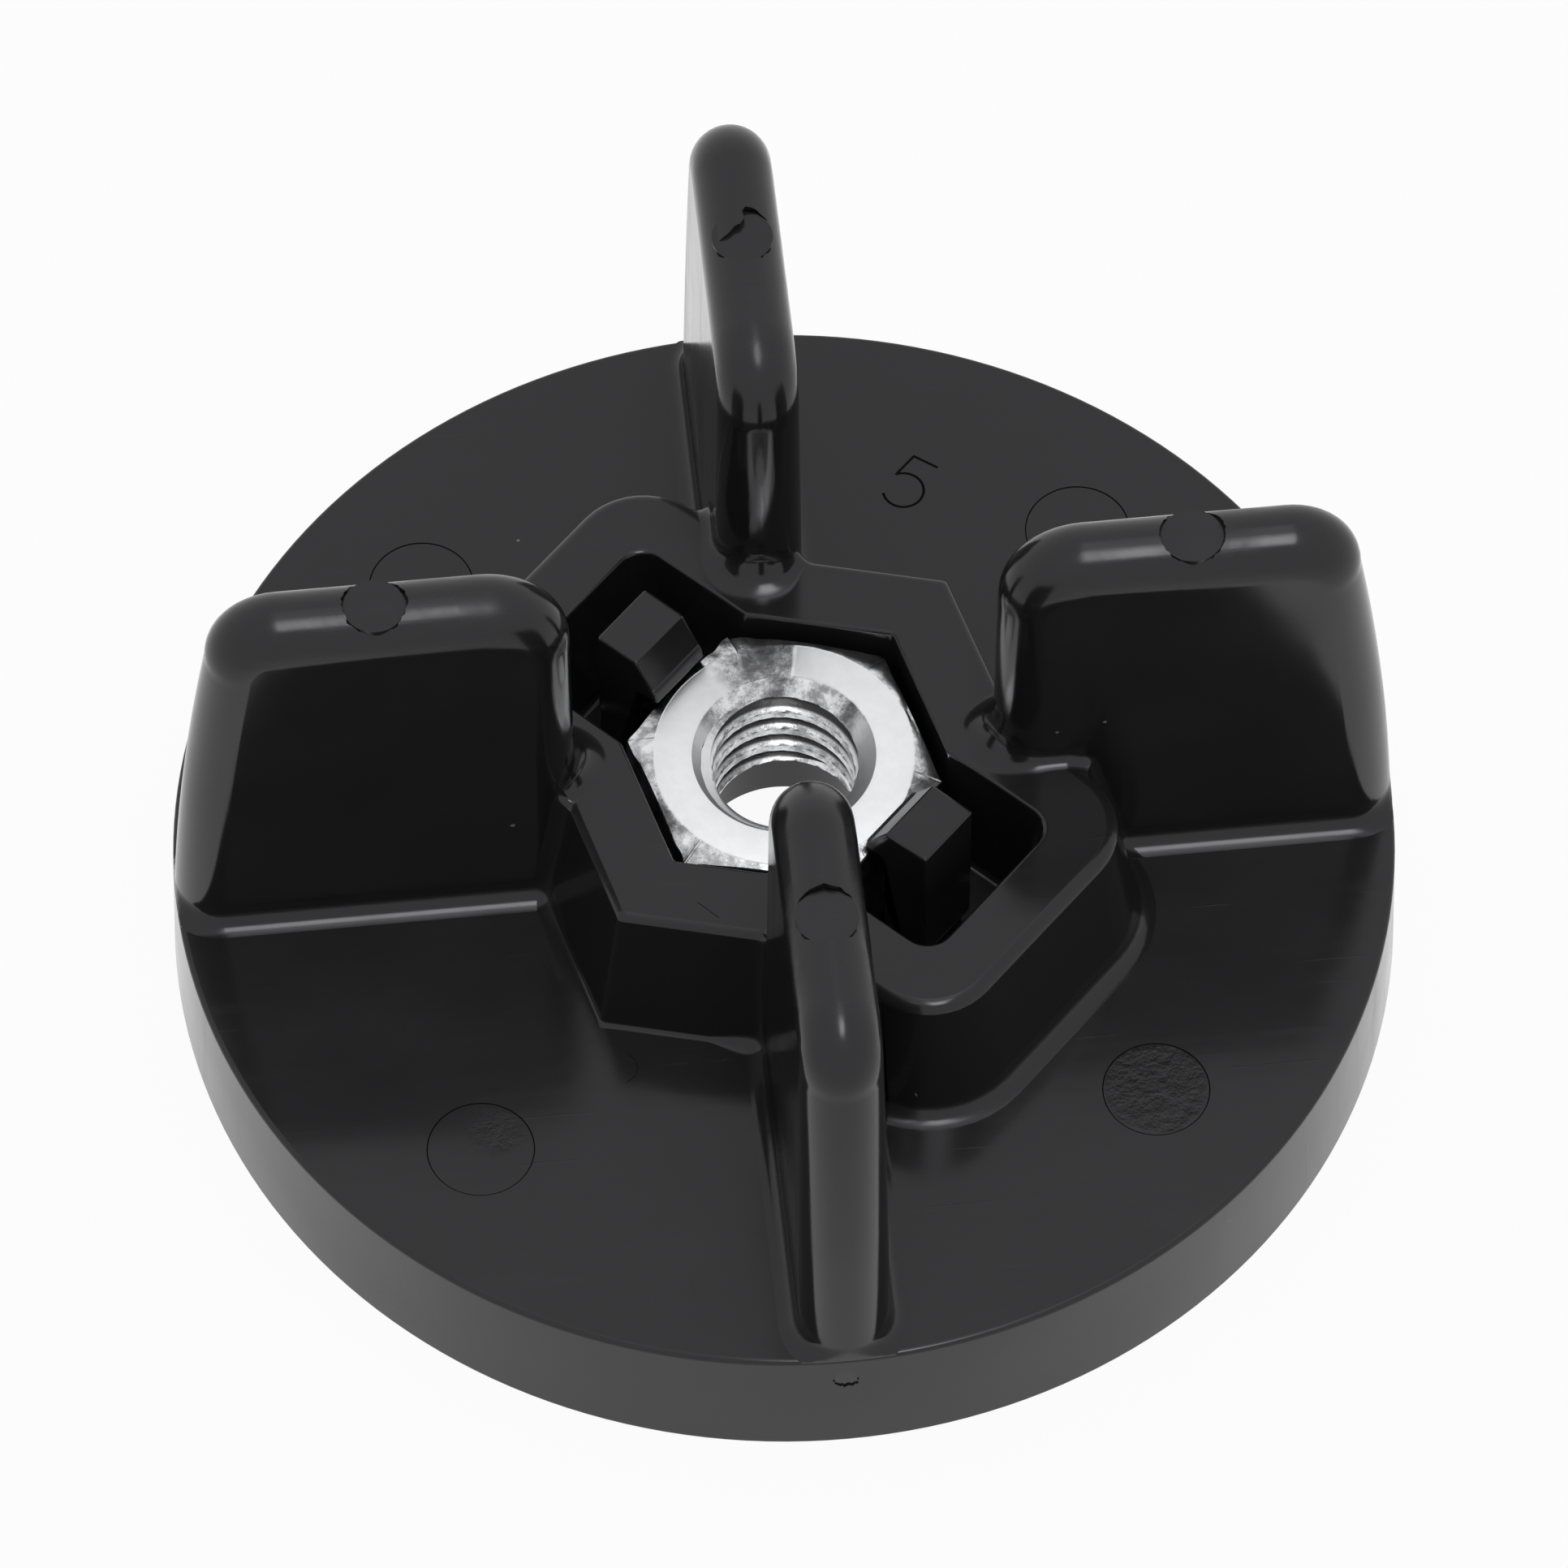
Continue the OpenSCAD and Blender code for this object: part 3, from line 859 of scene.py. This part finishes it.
def zinc():
    """Bright zinc plate on cold-formed steel. The flat face is even and pale. Outside it the
    plate is darker and mottled. The north half of the countersink and a tenth of the face, on
    its north side, are painted darker and mottled: painted shade in the countersink and a painted
    reflection on the face. The thread's roots are painted dark, as painted shade between the threads."""
    material, ink, where = new_material("bright_zinc")
    east = ink.node("ShaderNodeSeparateXYZ", inputs={0: where}, output="X")
    north = ink.node("ShaderNodeSeparateXYZ", inputs={0: where}, output="Y")
    radius = ink.math("SQRT", east * east + north * north)
    angle = ink.math("ARCTAN2", north, east)
    mottle = ink.node("ShaderNodeTexNoise", inputs={
        "Vector": where, "Scale": 1300, "Detail": 6, "Roughness": 0.7})
    dents = ink.node("ShaderNodeTexNoise", inputs={"Vector": where, "Scale": 1500, "Detail": 3})
    outside = radius.ramp(5.98 * MM, 6.06 * MM)
    # painted shade: the north half of the countersink is darkened in colour
    painted_sink_shade = radius.ramp(4.2 * MM, 4.35 * MM, 1, 0) * angle.ramp(0.2, 0.6) * angle.ramp(2.3, 2.8, 1, 0)
    # painted reflection: a darker patch over a tenth of the face, on its north side
    painted_face_reflection = angle.ramp(1.36, 1.4) * angle.ramp(1.95, 2.2, 1, 0) * 0.85
    # darker, mottled plate outside the face, joined with the painted shade and painted reflection
    dark_plate_and_painted_shade = ink.math("MAXIMUM", ink.math("MAXIMUM", outside * 0.85, painted_sink_shade), painted_face_reflection) + 0.08
    height = ink.node("ShaderNodeSeparateXYZ", inputs={0: where}, output="Z")
    threaded = (height > nut_low.z + sink_h) * (height < nut_high.z - sink_h)
    # painted shade: the thread's roots are darkened in colour, where shade falls between the threads
    painted_root_shade = radius.ramp(thread_minor_r + 0.05 * MM, thread_minor_r + 0.28 * MM)
    painted_root_shade = painted_root_shade * (radius < thread_major_r + 0.02 * MM)
    # darkness of the colour: mottled plate, with the painted shade in the thread's roots
    shade = ink.math("MAXIMUM", mottle.ramp(0.38, 0.62) * dark_plate_and_painted_shade * 0.7, painted_root_shade * threaded)
    colour = ink.node("ShaderNodeValToRGB", {"stops": [
        (0, (0.76, 0.77, 0.78, 1)), (0.7, (0.34, 0.34, 0.35, 1)), (1, (0.04, 0.04, 0.04, 1))]}, {0: shade})
    relief = dents * (0.15 + dark_plate_and_painted_shade) + mottle * (0.15 + dark_plate_and_painted_shade)
    bump = ink.node("ShaderNodeBump", inputs={"Height": relief, "Strength": 0.65, "Distance": 0.03 * MM})
    surface = ink.node("ShaderNodeBsdfPrincipled", inputs={
        "Base Color": colour,
        "Metallic": 1.0,
        "Roughness": 0.38 - dark_plate_and_painted_shade * 0.14,
        "Normal": bump})
    finish_material(ink, surface)
    return material


nut.data.materials.append(zinc())
polish(nut, crease=25)
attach(nut, "nut")
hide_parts("hex_nut")

# ---------------------------------------------------------------------------
# Studio. A pale floor, white walls, a long soft strip light overhead that is
# brightest towards the front, and a darker side where the camera stands.

floor_half = 3.0
floor_z = -0.01 * MM
floor_mesh = bpy.data.meshes.new("floor")
floor_mesh.from_pydata(
    [(-floor_half, -floor_half, floor_z), (floor_half, -floor_half, floor_z),
     (floor_half, floor_half, floor_z), (-floor_half, floor_half, floor_z)], [], [(0, 1, 2, 3)])
floor = bpy.data.objects.new("floor", floor_mesh)
bpy.context.scene.collection.objects.link(floor)


def seen_directly(ink):
    """1 where the camera, a gloss or glass looks at the background, 0 for soft light on the object."""
    camera, gloss, glass = [
        ink.node("ShaderNodeLightPath", output="Is %s Ray" % kind)
        for kind in ("Camera", "Glossy", "Transmission")]
    return ink.math("ADD", camera + gloss, glass, clamp=True)


paper, ink, where = new_material("floor_paper")
matte = ink.node("ShaderNodeBsdfDiffuse", inputs={"Color": (0.68, 0.68, 0.68, 1)})
white = ink.node("ShaderNodeEmission", inputs={"Color": (1, 1, 1, 1), "Strength": 1.0})
whiteness = seen_directly(ink) * 0.94
finish_material(ink, ink.node("ShaderNodeMixShader", inputs={0: whiteness, 1: matte, 2: white}))
floor_mesh.materials.append(paper)

room = bpy.data.worlds.new("studio")
room.use_nodes = True
room.node_tree.nodes.clear()
bpy.context.scene.world = room
ink = Shade(room.node_tree)
way = ink.node("ShaderNodeTexCoord", output="Generated")
right = ink.node("ShaderNodeSeparateXYZ", inputs={0: way}, output="X")
back = ink.node("ShaderNodeSeparateXYZ", inputs={0: way}, output="Y")
up = ink.node("ShaderNodeSeparateXYZ", inputs={0: way}, output="Z")
towards_camera = right * -0.26 - back * 0.966
walls = towards_camera.ramp(0.4, 0.8, 0.76, 0.22) * up.ramp(0, 0.4, 0.75, 1)
walls = walls * right.ramp(0.1, 0.8, 1, 0.85)
height = ink.math("MAXIMUM", up, 0.2)
across = ink.math("DIVIDE", right, height)
along = ink.math("DIVIDE", back, height)
strip = across.ramp(-0.06, 0.02) * across.ramp(0.16, 0.26, 1, 0) * along.ramp(-0.72, -0.42)
strip = strip * along.ramp(-0.25, 0.1, 7.5, 1.1) * along.ramp(0.4, 0.6, 1, 0) * up.ramp(0.2, 0.35)
strength = ink.math("MAXIMUM", walls + strip, seen_directly(ink))
backdrop = ink.node("ShaderNodeBackground", inputs={"Color": (1, 1, 1, 1), "Strength": strength})
ink.node("ShaderNodeOutputWorld", inputs={"Surface": backdrop})

camera_azimuth = math.radians(-5.93)
camera_elevation = math.radians(57.19)
camera_distance = 0.568
lens = bpy.data.cameras.new("camera")
lens.sensor_width = 36
view_width = 72.9 * MM
camera_raise = 2.34 * MM
lens.lens = camera_distance * lens.sensor_width / view_width
camera = bpy.data.objects.new("camera", lens)
sightline = Vector((
    math.sin(camera_azimuth) * math.cos(camera_elevation),
    -math.cos(camera_azimuth) * math.cos(camera_elevation),
    math.sin(camera_elevation)))
camera.rotation_mode = "QUATERNION"
camera.rotation_quaternion = sightline.to_track_quat("Z", "Y")
upward = camera.rotation_quaternion @ Vector((0, 1, 0))
camera.location = Vector((0, 0, deck)) + sightline * camera_distance + upward * camera_raise
lens.clip_start = 0.01
bpy.context.scene.collection.objects.link(camera)
bpy.context.scene.camera = camera
bpy.context.scene.view_settings.view_transform = "Standard"
